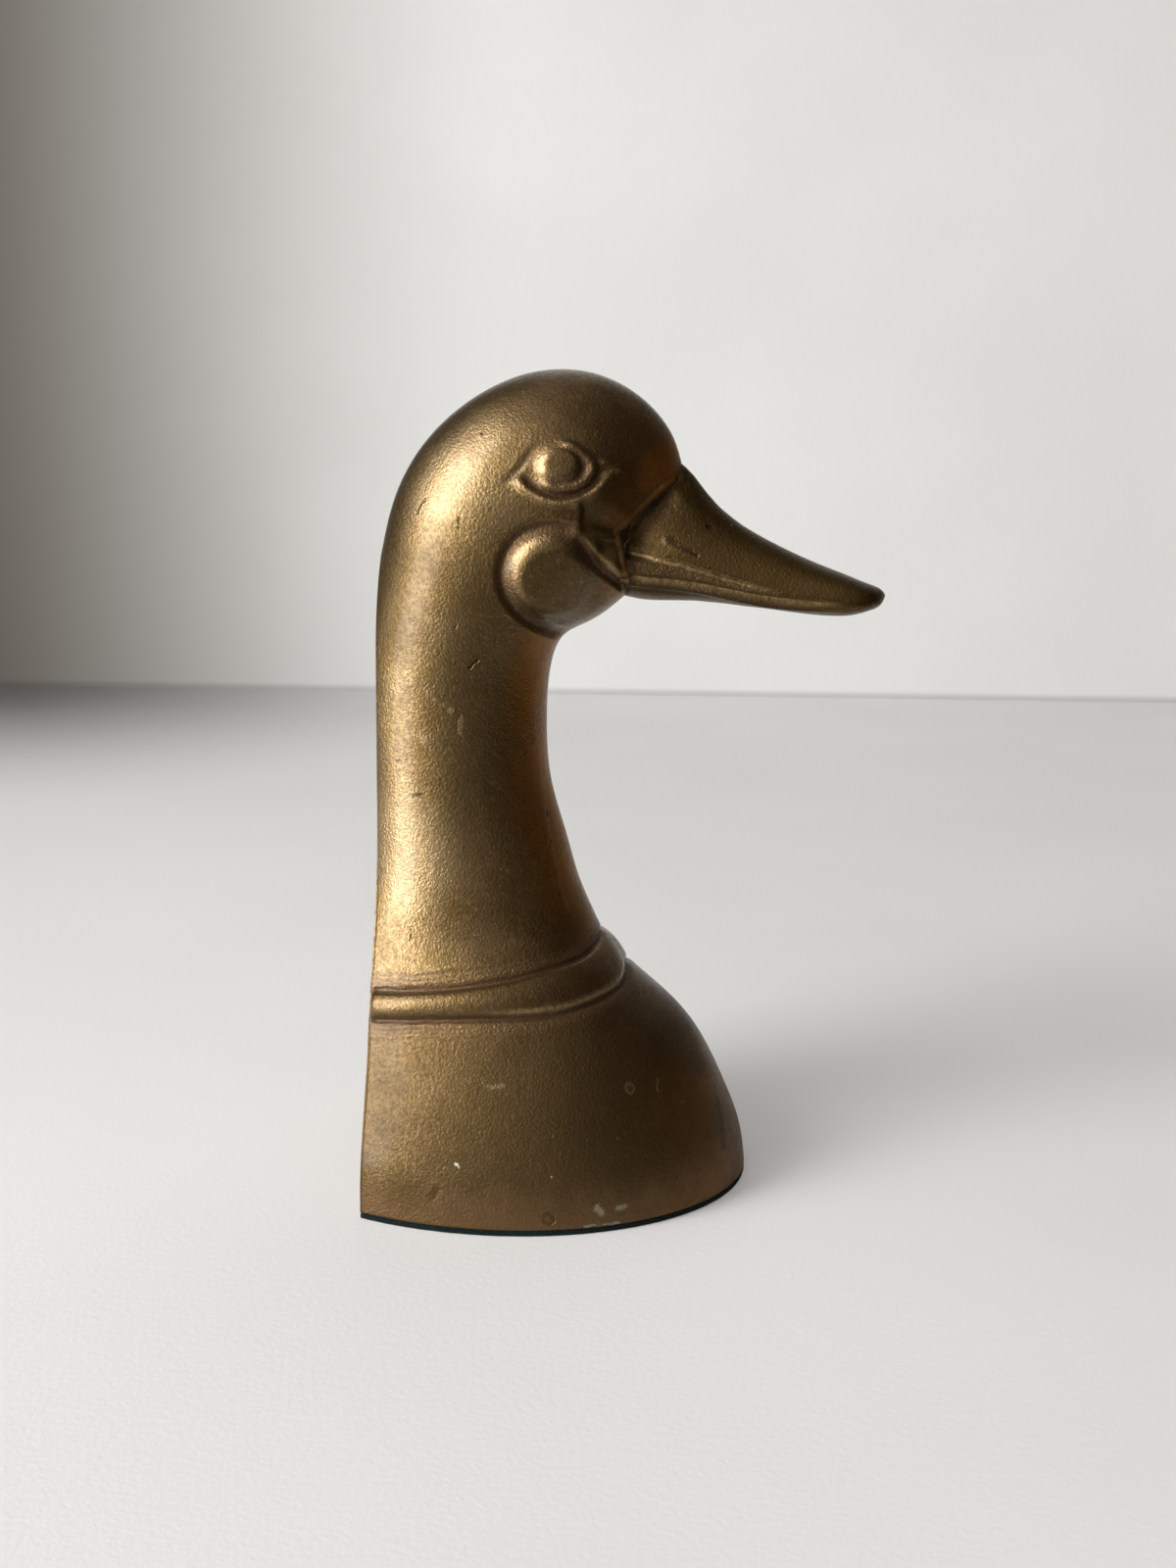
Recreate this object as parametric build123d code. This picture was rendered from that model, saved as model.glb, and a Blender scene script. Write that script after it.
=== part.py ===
# Brass duck-head bookend: a hollow sand-cast head, neck and breast with a flat back, on a felt pad.
# Millimetres. +X runs from the flat back towards the bill, +Z is up, and the origin is on the table,
# under the middle of the foot. "Reach" is a distance forward from the flat back.

from build123d import *
import math
import os

# Overall sizes
height = 172.0                  # table to crown
felt_thickness = 1.2
foot_length = 80.0              # flat back to the front of the foot
foot_width = 78.0
ring_height = 48.0              # table to the neck ring, halfway along it
neck_depth = 35.0               # flat back to the front of the neck
neck_width = 34.0
throat_height = 112.0           # table to the bend below the head
head_depth = 62.5               # flat back to the root of the bill, on top
head_width = 40.0
bill_length = 42.0              # root of the bill, on top, to its tip
bill_width = 24.0
bill_root_height = 27.0         # height of the bill where it leaves the head
bill_underside = 124.0          # table to the flat of the bill's underside

# The casting
wall = 4.0                      # thickness around the sand core
arris_radius = 0.7              # worn edge of the flat back

# The neck ring, between two grooves that rise towards the front
ring_proud = 1.3
ring_root = 0.6                 # its edges start this far below the surface
ring_start_share = 0.45         # where the ring starts between the rows of the two grooves
groove_depth = 0.9
groove_width = 2.0

# The eye
eye_length = 7.0
eye_height = 6.2
eye_proud = 1.2
lid_gap = 0.4
lid_width = 2.2                 # in front and behind
lid_thickness = 1.1             # above and below
lid_proud = 0.9
fold_length = 22.0              # the fold of skin below the lid
fold_drop = 7.9                 # from the middle of the eye to the bottom of the fold
fold_thickness = 1.7
fold_proud = 0.7

# The cheek
cheek_radius = 11.0
cheek_proud = 1.0

# The bill
bill_squareness = 2.6           # 2 is an ellipse, more is squarer
lip_proud = 0.6
mouth_gap = 0.8
mouth_depth = 0.7
nostril_length = 7.5
nostril_width = 1.7
nostril_depth = 1.2
nostril_tilt = 24.0             # degrees, down towards the tip

# Counts
points_around = 16              # points of a closed section
ring_steps = 6                  # sections of the ring, less one
solid_rows = 5                  # rows at the face, past the end of the core, that stay solid

# Each section of the form runs from a point on the back or crown to one on the breast, throat or chin.
# Columns: back reach, back height, front reach, front height, half width, place of the widest point.
# Reaches follow foot_length, neck_depth and head_depth. Heights run from the felt to the ring, from
# the ring to the throat and from the throat to the crown. Half widths follow half of each width.
foot_shares = (
    (-0.34, -0.15, 1.005, -0.15, 1.005, 0.517),
    (-0.34, 0.0, 1.0, 0.0, 1.0, 0.517),
    (-0.342, 0.156, 0.984, 0.173, 0.985, 0.520),
    (-0.286, 0.306, 0.941, 0.365, 0.944, 0.510),
    (-0.238, 0.466, 0.880, 0.577, 0.867, 0.503),
    (-0.220, 0.594, 0.806, 0.745, 0.785, 0.515),
    (-0.222, 0.700, 0.661, 0.966, 0.700, 0.550),
)
neck_shares = (
    (-0.47, -0.083, 1.349, 0.086, 1.41, 0.570),
    (-0.38, 0.031, 1.286, 0.156, 1.253, 0.550),
    (-0.217, 0.188, 1.200, 0.266, 1.147, 0.510),
    (-0.135, 0.375, 1.114, 0.422, 1.076, 0.495),
    (-0.129, 0.594, 1.017, 0.609, 1.024, 0.50),
    (-0.134, 0.781, 0.989, 0.781, 1.0, 0.50),
    (-0.131, 0.961, 0.994, 0.922, 1.012, 0.50),
)
head_shares = (
    (-0.058, 0.142, 0.570, 0.010, 0.895, 0.50),
    (-0.014, 0.333, 0.592, 0.072, 0.940, 0.50),
    (0.029, 0.525, 0.627, 0.110, 0.975, 0.50),
    (0.112, 0.708, 0.680, 0.138, 1.0, 0.50),
    (0.264, 0.872, 0.736, 0.172, 1.0, 0.50),
    (0.480, 0.984, 0.784, 0.212, 0.96, 0.50),
    (0.680, 0.991, 0.829, 0.255, 0.81, 0.50),
    (0.842, 0.917, 0.874, 0.308, 0.60, 0.48),
    (0.949, 0.800, 0.915, 0.375, 0.43, 0.47),
    (0.990, 0.690, 0.950, 0.467, 0.26, 0.45),
)
# Columns: place along the bill, height of its top, height of its underside, half width, narrowing upwards
bill_shares = (
    (-0.30, 1.18, 0.130, 0.80, 0.30),
    (-0.14, 1.10, 0.088, 0.80, 0.30),
    (0.0, 0.993, 0.078, 0.80, 0.30),
    (0.126, 0.822, 0.070, 0.80, 0.28),
    (0.274, 0.652, 0.059, 0.80, 0.25),
    (0.464, 0.493, 0.033, 0.80, 0.20),
    (0.655, 0.363, -0.004, 0.80, 0.14),
    (0.821, 0.267, -0.015, 0.76, 0.08),
    (0.929, 0.204, 0.011, 0.61, 0.04),
    (0.983, 0.167, 0.059, 0.34, 0.0),
    (1.0, 0.140, 0.100, 0.12, 0.0),
)
eye_place_shares = (0.608, 0.673)           # of head_depth, and of the rise from throat to crown
cheek_place_shares = (0.600, 0.292)
nostril_place_shares = (0.0, 0.475)         # of bill_length, and of bill_root_height
# Lines along the bill: place along it and height above its underside
mouth_shares = ((-0.28, 0.211), (-0.17, 0.189), (-0.026, 0.163), (0.126, 0.130), (0.20, 0.112))
lip_top_shares = ((-0.22, 0.426), (0.010, 0.326), (0.364, 0.174), (0.62, 0.125))
lip_low_shares = ((-0.22, 0.244), (0.124, 0.196), (0.367, 0.119), (0.62, 0.075))


# Places, worked out from the sizes

def at_reach(reach):
    return reach - foot_length / 2


def scaled_rows(shares, depth, low, high, width):
    """Turn a table of shares into places: (back point, front point, half width, widest place)."""
    rows = []
    for back_reach, back_rise, front_reach, front_rise, half_width, widest in shares:
        rows.append((
            at_reach(back_reach * depth), low + back_rise * (high - low),
            at_reach(front_reach * depth), low + front_rise * (high - low),
            half_width * width / 2, widest,
        ))
    return rows


form_rows = (
    scaled_rows(foot_shares, foot_length, felt_thickness, ring_height, foot_width)
    + scaled_rows(neck_shares, neck_depth, ring_height, throat_height, neck_width)
    + scaled_rows(head_shares, head_depth, throat_height, height, head_width)
)
foot_row = 1
upper_groove_row = len(foot_shares)
ring_start_row = upper_groove_row - 1 + ring_start_share
last_row = len(form_rows) - 1


def head_place(shares):
    """A point on the side of the head, from shares of its depth and of its rise."""
    reach_share, rise_share = shares
    return at_reach(reach_share * head_depth), throat_height + rise_share * (height - throat_height)


def bill_place(shares):
    """A point on the side of the bill, from shares of its length and of its height at the root."""
    along, rise = shares
    return at_reach(head_depth + along * bill_length), bill_underside + rise * bill_root_height


# Sections

def squared(value, squareness):
    """A sine or cosine that turns an ellipse into a squarer curve."""
    return math.copysign(abs(value) ** (2 / squareness), value)


def closed_spline(points):
    """A smooth closed curve whose knots are spread evenly, so that sections match one another."""
    knots = [index / len(points) for index in range(len(points) + 1)]
    return Wire([Edge.make_spline(points, periodic=True, parameters=knots)])


def between_rows(place):
    """The row at a place between two rows of the form, on a smooth curve through its neighbours."""
    index = min(int(place), last_row - 1)
    part = place - index
    before, start, end, after = (
        form_rows[max(0, min(last_row, index + step))] for step in (-1, 0, 1, 2)
    )
    row = []
    for a, b, c, d in zip(before, start, end, after):
        bend = 2 * a - 5 * b + 4 * c - d + part * (3 * (b - c) + d - a)
        row.append(b + part * (c - a + part * bend) / 2)
    return row


def form_section(row, grow=0.0):
    """A section of the form: two half ellipses that meet at the widest place."""
    back_x, back_z, front_x, front_z, half_width, widest = row
    length = math.hypot(front_x - back_x, front_z - back_z)
    along = ((front_x - back_x) / length, (front_z - back_z) / length)
    points = []
    for index in range(points_around):
        angle = math.pi + 2 * math.pi * index / points_around
        reach = (1 - widest if math.cos(angle) > 0 else widest) * length + grow
        run = widest * length + reach * math.cos(angle)
        across = (half_width + grow) * math.sin(angle)
        points.append((back_x + run * along[0], across, back_z + run * along[1]))
    return closed_spline(points)


def form_between(first, last, grow=0.0):
    """The form, or one offset by grow, from one row to another."""
    return Solid.make_loft([form_section(row, grow) for row in form_rows[first:last + 1]])


def bill_section(row, grow=0.0):
    """An upright section of the bill: an ellipse drawn out towards a rectangle."""
    along, top, low, half_width, narrowing = row
    x, top_z = bill_place((along, top))
    x, low_z = bill_place((along, low))
    middle = (top_z + low_z) / 2
    points = []
    for index in range(points_around):
        angle = math.pi + 2 * math.pi * index / points_around
        side = squared(math.cos(angle), bill_squareness)
        rise = squared(math.sin(angle), bill_squareness)
        y = side * (half_width * bill_width / 2 * (1 - narrowing * rise) + grow)
        points.append((x, y, middle + rise * ((top_z - low_z) / 2 + grow)))
    return closed_spline(points)


def bill_form(grow=0.0):
    return Solid.make_loft([bill_section(row, grow) for row in bill_shares])


# Tools

span = foot_length + head_depth + bill_length       # longer than any reach of the object

behind_back = Pos(at_reach(0) - span / 2, 0, height / 2) * Box(span, span, 2 * height)
below_foot = Pos(0, 0, felt_thickness - span / 2) * Box(2 * span, span, span)


def through(face):
    """A face drawn on the side view, carried right through the object from side to side."""
    return extrude(face, span, both=True)


def on_side(sketch, place, tilt=0.0):
    """Lay a flat sketch on the side view, at a place, and tilt it down towards the bill."""
    x, z = place
    return Plane(origin=(x, 0, z), x_dir=(1, 0, 0), z_dir=(0, -1, 0)) * Rot(0, 0, -tilt) * sketch


def side_band(low_line, high_line):
    """A band on the side view between two smooth lines."""
    low_points = [(x, 0, z) for x, z in low_line]
    high_points = [(x, 0, z) for x, z in high_line]
    return Face(Wire([
        Edge.make_spline(low_points),
        Edge.make_line(low_points[-1], high_points[-1]),
        Edge.make_spline(high_points[::-1]),
        Edge.make_line(high_points[0], low_points[0]),
    ]))


# The casting

def body_with_back():
    """Head, neck, breast and bill, cut flat at the back and foot, with the back's arris rounded."""
    body = form_between(0, last_row) + bill_form()
    body = body - behind_back - below_foot
    back_face = body.faces().sort_by(Axis.X)[0]
    return fillet(back_face.edges().filter_by(Axis.Y, reverse=True), arris_radius)


def neck_ring():
    """The rounded ring: the form swollen between its two grooves."""
    sections = []
    for index in range(ring_steps + 1):
        part = index / ring_steps
        row = between_rows(ring_start_row + part * (upper_groove_row - ring_start_row))
        sections.append(form_section(row, (ring_proud + ring_root) * math.sin(math.pi * part) - ring_root))
    return Solid.make_loft(sections) - behind_back


def belt(place, low, grows):
    """A belt as wide as a groove, from low above a row of the form. Its sections stand out by grows."""
    sections = []
    for index, grow in enumerate(grows):
        rise = low + groove_width * index / (len(grows) - 1)
        back_x, back_z, front_x, front_z, half_width, widest = between_rows(place)
        row = (back_x, back_z + rise, front_x, front_z + rise, half_width, widest)
        sections.append(form_section(row, grow))
    return Solid.make_loft(sections, True)


def groove_cutter(place, low):
    """The metal that a V-shaped groove around the form takes away."""
    outside = belt(place, low, (groove_depth, groove_depth))
    return outside - belt(place, low, (groove_depth / 2, -groove_depth, groove_depth / 2))


def raised_shapes():
    """The eyeball, its lid, the fold below it and the cheek: outlines that swell out of both sides."""
    eye = head_place(eye_place_shares)
    length, drop = eye_length / 2, eye_height / 2
    ball = Ellipse(length, drop)
    opening = Ellipse(length + lid_gap, drop + lid_gap)
    lid = Ellipse(length + lid_gap + lid_width, drop + lid_gap + lid_thickness) - opening
    fold = Ellipse(fold_length / 2, fold_drop)
    fold = fold - Ellipse((fold_length - fold_thickness) / 2, fold_drop - fold_thickness)
    fold = fold & Pos(0, -fold_drop) * Rectangle(fold_length, 2 * fold_drop)
    cheek = Circle(cheek_radius)
    outlines = (
        (ball, eye, eye_proud), (lid, eye, lid_proud), (fold, eye, fold_proud),
        (cheek, head_place(cheek_place_shares), cheek_proud),
    )
    return [
        through(on_side(sketch, place)) & form_between(0, last_row, proud)
        for sketch, place, proud in outlines
    ]


def lip():
    """The raised edge along both sides of the upper bill."""
    low_line = [bill_place(shares) for shares in lip_low_shares]
    high_line = [bill_place(shares) for shares in lip_top_shares]
    return through(side_band(low_line, high_line)) & bill_form(lip_proud)


def mouth_cutter():
    """The parting line of the bill, as deep as mouth_depth on both sides."""
    line = [bill_place(shares) for shares in mouth_shares]
    low_line = [(x, z - mouth_gap / 2) for x, z in line]
    high_line = [(x, z + mouth_gap / 2) for x, z in line]
    return through(side_band(low_line, high_line)) - bill_form(-mouth_depth)


def nostril_cutter():
    slot = SlotOverall(nostril_length, nostril_width)
    slot = on_side(slot, bill_place(nostril_place_shares), nostril_tilt)
    return through(slot) - bill_form(-nostril_depth)


def sand_core():
    """The hollow: the form shrunk by the wall, stopped inside the head and by the back's own wall."""
    return form_between(0, last_row - solid_rows, -wall) - Pos(wall, 0, 0) * behind_back


def duck_casting():
    body = body_with_back()
    body = body - groove_cutter(ring_start_row, -groove_width) - groove_cutter(upper_groove_row, 0)
    body = body + neck_ring()
    for piece in raised_shapes():
        body = body + piece
    body = body + lip()
    return body - mouth_cutter() - nostril_cutter() - sand_core()


# The felt

def base_felt():
    """A pad as large as the foot, back edge and all, glued over the mouth of the hollow."""
    outline = Face(form_section(form_rows[foot_row]))
    return extrude(outline, felt_thickness, dir=(0, 0, -1)) - behind_back


os.makedirs("parts", exist_ok=True)
for name, make in (("duck_casting", duck_casting), ("base_felt", base_felt)):
    export_step(make(), f"parts/{name}.step")
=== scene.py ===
"""Brass duck-head bookend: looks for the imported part. Shapes are worked out in millimetres."""

import sys

import math

import bpy
import numpy as np
from mathutils import Matrix, Vector


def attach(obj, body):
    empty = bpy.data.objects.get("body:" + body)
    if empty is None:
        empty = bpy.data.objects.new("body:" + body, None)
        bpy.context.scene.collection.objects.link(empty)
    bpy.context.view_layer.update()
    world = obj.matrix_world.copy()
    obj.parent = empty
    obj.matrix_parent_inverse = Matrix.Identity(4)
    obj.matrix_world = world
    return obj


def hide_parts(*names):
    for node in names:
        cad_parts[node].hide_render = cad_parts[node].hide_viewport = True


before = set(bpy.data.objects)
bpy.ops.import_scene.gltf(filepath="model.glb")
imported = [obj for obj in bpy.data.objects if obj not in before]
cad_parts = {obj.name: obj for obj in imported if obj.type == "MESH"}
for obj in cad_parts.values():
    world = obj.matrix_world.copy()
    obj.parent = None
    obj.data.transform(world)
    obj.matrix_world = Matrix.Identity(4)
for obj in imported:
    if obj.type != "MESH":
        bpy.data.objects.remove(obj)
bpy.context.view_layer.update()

MM = 0.001

# ---------------------------------------------------------------- sizes, as in the part's source

FELT = 1.2
BACK_X = -40.0
WALL = 4.0
SOLID_ROWS = 5

# Columns: back reach, back height, front reach, front height, half width, place of the widest point.
FOOT_SHARES = (
    (-0.34, 0.0, 1.0, 0.0, 1.0, 0.517),
    (-0.342, 0.156, 0.984, 0.173, 0.985, 0.520),
    (-0.286, 0.306, 0.941, 0.365, 0.944, 0.510),
    (-0.238, 0.466, 0.880, 0.577, 0.867, 0.503),
    (-0.220, 0.594, 0.806, 0.745, 0.785, 0.515),
    (-0.222, 0.700, 0.661, 0.966, 0.700, 0.550),
)
NECK_SHARES = (
    (-0.47, -0.083, 1.349, 0.086, 1.41, 0.570),
    (-0.38, 0.031, 1.286, 0.156, 1.253, 0.550),
    (-0.217, 0.188, 1.200, 0.266, 1.147, 0.510),
    (-0.135, 0.375, 1.114, 0.422, 1.076, 0.495),
    (-0.129, 0.594, 1.017, 0.609, 1.024, 0.50),
    (-0.134, 0.781, 0.989, 0.781, 1.0, 0.50),
    (-0.131, 0.961, 0.994, 0.922, 1.012, 0.50),
)
HEAD_SHARES = (
    (-0.058, 0.142, 0.570, 0.010, 0.895, 0.50),
    (-0.014, 0.333, 0.592, 0.072, 0.940, 0.50),
    (0.029, 0.525, 0.627, 0.110, 0.975, 0.50),
    (0.112, 0.708, 0.680, 0.138, 1.0, 0.50),
    (0.264, 0.872, 0.736, 0.172, 1.0, 0.50),
    (0.480, 0.984, 0.784, 0.212, 0.96, 0.50),
    (0.680, 0.991, 0.829, 0.255, 0.81, 0.50),
    (0.842, 0.917, 0.874, 0.308, 0.60, 0.48),
    (0.949, 0.800, 0.915, 0.375, 0.43, 0.47),
    (0.990, 0.690, 0.950, 0.467, 0.26, 0.45),
)
# Columns: place along the bill, height of its top, of its underside, half width, narrowing upwards.
BILL_SHARES = (
    (-0.30, 1.18, 0.130, 0.80, 0.30),
    (-0.14, 1.10, 0.088, 0.80, 0.30),
    (0.0, 0.993, 0.078, 0.80, 0.30),
    (0.126, 0.822, 0.070, 0.80, 0.28),
    (0.274, 0.652, 0.059, 0.80, 0.25),
    (0.464, 0.493, 0.033, 0.80, 0.20),
    (0.655, 0.363, -0.004, 0.80, 0.14),
    (0.821, 0.267, -0.015, 0.76, 0.08),
    (0.929, 0.204, 0.011, 0.61, 0.04),
    (0.983, 0.167, 0.059, 0.34, 0.0),
    (1.0, 0.140, 0.100, 0.12, 0.0),
)
BILL_ROOT, BILL_LENGTH, BILL_LOW, BILL_HEIGHT, BILL_HALF = 62.5, 42.0, 124.0, 27.0, 12.0
BILL_SQUARENESS = 2.6


def scaled_rows(shares, depth, low, high, width):
    t = np.array(shares, float)
    t[:, (0, 2)] = t[:, (0, 2)] * depth + BACK_X
    t[:, (1, 3)] = low + t[:, (1, 3)] * (high - low)
    t[:, 4] *= width / 2
    return t


FORM_ROWS = np.vstack((
    scaled_rows(FOOT_SHARES, 80.0, FELT, 48.0, 78.0),
    scaled_rows(NECK_SHARES, 35.0, 48.0, 112.0, 34.0),
    scaled_rows(HEAD_SHARES, 62.5, 112.0, 172.0, 40.0),
))
BILL_ROWS = np.array(BILL_SHARES)
BILL_ROWS = np.column_stack((
    BILL_ROOT + BILL_ROWS[:, 0] * BILL_LENGTH + BACK_X,
    BILL_LOW + BILL_ROWS[:, 1] * BILL_HEIGHT,
    BILL_LOW + BILL_ROWS[:, 2] * BILL_HEIGHT,
    BILL_ROWS[:, 3] * BILL_HALF,
    BILL_ROWS[:, 4],
))


# ---------------------------------------------------------------- curves

class Spline:
    """A natural cubic spline through rows of numbers, read at row places (0, 1, 2 ...)."""

    def __init__(self, rows, steps):
        self.rows = np.asarray(rows, float)
        n = len(self.rows)
        self.knots = np.concatenate(([0.0], np.cumsum(steps)))
        h = np.diff(self.knots)
        a = np.zeros((n, n))
        b = np.zeros((n, self.rows.shape[1]))
        a[0, 0] = a[-1, -1] = 1.0
        for i in range(1, n - 1):
            a[i, i - 1:i + 2] = h[i - 1], 2 * (h[i - 1] + h[i]), h[i]
            b[i] = 6 * ((self.rows[i + 1] - self.rows[i]) / h[i] - (self.rows[i] - self.rows[i - 1]) / h[i - 1])
        self.bend = np.linalg.solve(a, b)

    def __call__(self, places):
        places = np.asarray(places, float)
        i = np.clip(places.astype(int), 0, len(self.rows) - 2)
        h = (self.knots[i + 1] - self.knots[i])[:, None]
        t = (places - i)[:, None]
        p = self.rows
        m = self.bend
        return ((1 - t) * p[i] + t * p[i + 1]
                + h * h / 6 * (((1 - t) ** 3 - (1 - t)) * m[i] + (t ** 3 - t) * m[i + 1]))


def row_steps(rows, columns):
    d = np.diff(rows, axis=0)
    lengths = [np.hypot(d[:, a], d[:, b]) for a, b in columns]
    return np.maximum(np.mean(lengths, axis=0), 0.5)


form_spline = Spline(FORM_ROWS, row_steps(FORM_ROWS, ((0, 1), (2, 3))))
bill_spline = Spline(BILL_ROWS, row_steps(BILL_ROWS, ((0, 1), (0, 2))))


def smooth_path(points, steps=8):
    """A Catmull-Rom curve through given points."""
    p = np.array(points, float)
    p = np.vstack((2 * p[0] - p[1], p, 2 * p[-1] - p[-2]))
    out = []
    for i in range(1, len(p) - 2):
        for t in np.arange(steps) / steps:
            a, b, c, d = p[i - 1:i + 3]
            out.append(b + 0.5 * t * (c - a + t * (2 * a - 5 * b + 4 * c - d + t * (3 * (b - c) + d - a))))
    out.append(p[-2])
    return np.array(out)


def nearest(q, path):
    """For points q: distance to a path, place along it (0 to 1), and side (+ left, - right)."""
    best = np.full(len(q), 1e9)
    place = np.zeros(len(q))
    side = np.ones(len(q))
    seg = np.diff(path, axis=0)
    lengths = np.hypot(seg[:, 0], seg[:, 1])
    run = np.concatenate(([0.0], np.cumsum(lengths)))
    for i in range(len(seg)):
        d = q - path[i]
        t = np.clip((d @ seg[i]) / max(lengths[i] ** 2, 1e-12), 0, 1)
        e = d - t[:, None] * seg[i]
        dist = np.hypot(e[:, 0], e[:, 1])
        near = dist < best
        best = np.where(near, dist, best)
        place = np.where(near, (run[i] + t * lengths[i]) / run[-1], place)
        side = np.where(near, np.sign(seg[i, 0] * d[:, 1] - seg[i, 1] * d[:, 0]), side)
    return best, place, side


def step(x, a, b):
    t = np.clip((x - a) / (b - a), 0, 1)
    return t * t * (3 - 2 * t)


def bump(x, width):
    """1 at x = 0, falling smoothly to 0 at width on both sides."""
    return 0.5 + 0.5 * np.cos(np.pi * np.clip(np.abs(x) / width, 0, 1))


def ends(place, share):
    """Fades a line out over a share of its length at both ends."""
    return step(place, 0, share) * step(1 - place, 0, share)


# ---------------------------------------------------------------- grids

def section(row, grow, back_x, count, spread, cluster):
    """One section of the form: count points round the front, from one back edge to the other."""
    bx, bz, fx, fz, half, widest = row
    length = math.hypot(fx - bx, fz - bz)
    ax, az = (fx - bx) / length, (fz - bz) / length
    rear, fore = widest * length + grow, (1 - widest) * length + grow
    limit = math.pi
    if ax > 0.2:
        run = (back_x - bx) / ax - widest * length
        if run > -rear:
            limit = math.acos(max(-1.0, min(1.0, run / (rear if run < 0 else fore))))
    a = np.linspace(-limit, limit, 721)
    reach = np.where(np.cos(a) > 0, fore, rear)
    run = widest * length + reach * np.cos(a)
    p = np.column_stack((bx + run * ax, (half + grow) * np.sin(a), bz + run * az))
    if limit < math.pi:
        p[0, 0] = p[-1, 0] = back_x
    d = np.linalg.norm(np.diff(p, axis=0), axis=1)
    mid = 0.5 * (a[1:] + a[:-1])
    whole = np.concatenate(([0.0], np.cumsum(d)))
    weight = d * (1 + spread * np.sin(mid) ** 2)
    weighed = np.concatenate(([0.0], np.cumsum(weight)))
    inner = count - 2 * len(cluster)
    at = np.interp(np.linspace(0, weighed[-1], inner), weighed, whole)
    near = np.array(cluster) * (whole[-1] / 100 if whole[-1] < 30 else 1.0)
    at[0], at[-1] = 0.0, whole[-1]
    places = np.sort(np.concatenate((at, near, whole[-1] - near)))
    return np.column_stack([np.interp(places, whole, p[:, k]) for k in range(3)])


def form_grid(places, count, chord, grow=0.0, back_x=BACK_X, spread=1.2, cluster=(0.12, 0.3, 0.55, 0.9)):
    """Rows of points round the form at row places, and the number of columns that close_back lays across the flat
    back.
    """
    rows = form_spline(places)
    arc = np.array([section(row, grow, back_x, count, spread, cluster) for row in rows])
    return arc, chord


def close_back(arc, chord):
    """Adds the columns across the flat back to the arcs of a grid."""
    t = (np.arange(chord) + 1) / (chord + 1)
    first, last = arc[:, :1], arc[:, -1:]
    across = last + (first - last) * t[None, :, None]
    return np.concatenate((arc, across), axis=1)


def grid_normals(grid):
    """Outward normals of a grid that is closed in its second direction."""
    du = np.gradient(grid, axis=0)
    dv = (np.roll(grid, -1, axis=1) - np.roll(grid, 1, axis=1))
    n = np.cross(dv, du)
    return n / np.maximum(np.linalg.norm(n, axis=2, keepdims=True), 1e-9)


def grid_faces(rows, count, start=0):
    i = np.arange(rows - 1)[:, None] * count + start
    j = np.arange(count)[None, :]
    k = (j + 1) % count
    return np.stack((i + j, i + k, i + count + k, i + count + j), axis=-1).reshape(-1, 4)


# ---------------------------------------------------------------- the head's features, on the side view

LID = smooth_path([
    (33.5, 152.3), (34.4, 154.7), (35.8, 155.9), (37.6, 156.4), (39.7, 156.1), (42.2, 154.6), (44.1, 152.3),
    (43.3, 150.1), (41.1, 148.7), (38.0, 148.2), (35.4, 149.0), (33.9, 150.5), (33.5, 152.3)])
FOLD = smooth_path([
    (28.6, 149.9), (29.8, 149.6), (31.2, 148.0), (33.4, 146.7), (35.4, 145.8), (37.8, 145.3), (41.2, 145.7),
    (44.7, 147.7), (47.1, 150.3), (48.4, 151.5), (50.7, 151.9)])
FOLD_HOOK = smooth_path([(45.3, 153.2), (47.0, 153.1), (48.7, 152.4), (50.7, 151.9)])
FOLD_GROOVE = smooth_path([
    (30.6, 151.3), (31.8, 150.0), (33.9, 148.2), (36.3, 147.0), (39.5, 146.6), (42.8, 147.6), (45.2, 149.7),
    (46.6, 152.2)])
CORNER = smooth_path([(25.6, 148.7), (27.6, 149.3), (29.1, 150.6), (30.7, 152.6), (32.4, 155.0), (34.8, 157.0)])
CHEEK = smooth_path([
    (43.0, 138.0), (41.4, 139.9), (39.3, 140.7), (36.1, 141.0), (33.0, 140.4), (30.2, 139.0), (27.9, 136.4),
    (26.7, 133.2), (26.4, 130.9), (26.8, 128.3), (27.9, 125.7), (29.7, 123.3), (32.4, 120.9), (35.1, 119.2),
    (37.1, 117.9), (39.4, 116.7), (41.8, 115.5)])
CHEEK_FRONT = smooth_path([
    (41.2, 139.1), (42.7, 137.3), (44.5, 134.7), (46.2, 132.5), (48.1, 130.7), (49.8, 129.1), (51.6, 127.4)])
CREASE = smooth_path([(40.6, 145.5), (42.4, 143.6), (41.4, 140.9)])
WEDGE_TOP = smooth_path([(40.8, 139.4), (44.5, 139.7), (48.0, 138.9), (50.4, 138.2)])
WEDGE_RIDGE = smooth_path([(43.4, 138.4), (46.0, 135.2), (48.6, 132.4), (51.6, 131.0)])
SEAM = smooth_path([
    (64.0, 153.4), (62.1, 151.4), (60.7, 149.6), (58.2, 147.3), (56.2, 145.3), (53.7, 142.7), (51.5, 140.4),
    (50.4, 139.0), (50.6, 137.2), (51.0, 134.6), (51.4, 132.0), (51.6, 130.4), (51.0, 128.0)])
LIP_TOP = smooth_path([
    (50.0, 135.6), (53.0, 135.2), (57.0, 134.2), (61.4, 133.2), (67.2, 131.6), (75.0, 129.6), (84.0, 128.2)])
LIP_LOW = smooth_path([
    (50.0, 131.0), (53.2, 130.5), (59.7, 129.9), (65.8, 129.2), (71.9, 128.1), (76.0, 127.3), (80.1, 126.7),
    (84.1, 126.3), (92.2, 125.8), (96.1, 125.5)])
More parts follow.
